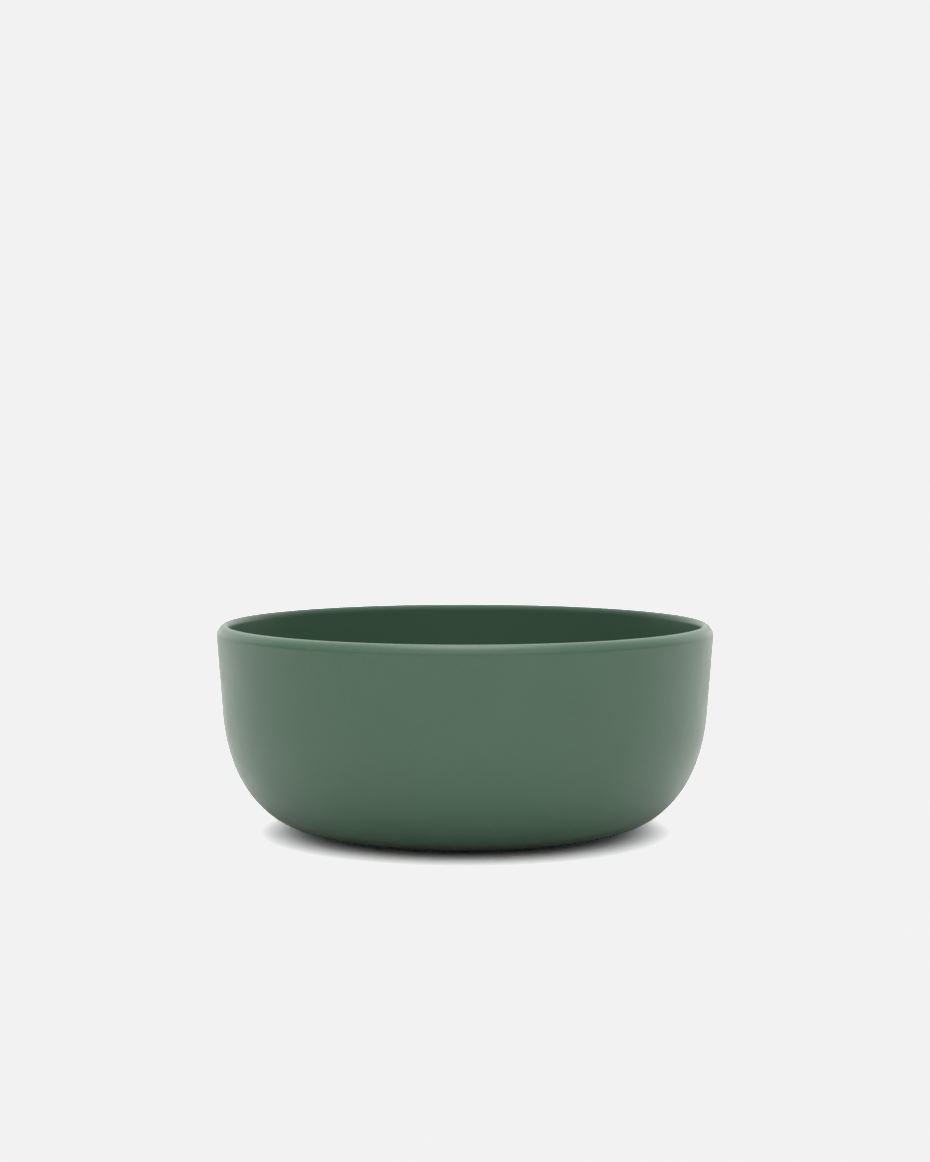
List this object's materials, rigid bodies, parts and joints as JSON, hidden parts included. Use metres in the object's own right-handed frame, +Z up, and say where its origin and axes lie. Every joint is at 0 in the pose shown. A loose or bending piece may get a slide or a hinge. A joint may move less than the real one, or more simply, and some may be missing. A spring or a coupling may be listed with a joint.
{
  "type": "mixing bowl",
  "caption": "Round, thick-walled mixing bowl with a slightly flared wall, a rounded lip and a soft corner down to a flat base, standing on a silicone non-slip ring.",
  "frame": {"origin": "on the bowl's axis, at the level of the surface that the non-slip ring stands on", "axes": "+Z up along the bowl's axis, out of its mouth; X and Y are any two directions square to it, because the bowl is round"},
  "size_m": [0.24, 0.24, 0.1],
  "materials": {
    "bowl_melamine": "satin",
    "ring_silicone": "matte"
  },
  "bodies": {
    "root": {"bowl": "bowl_melamine", "non_slip_ring": "ring_silicone"}
  },
  "joints": []
}
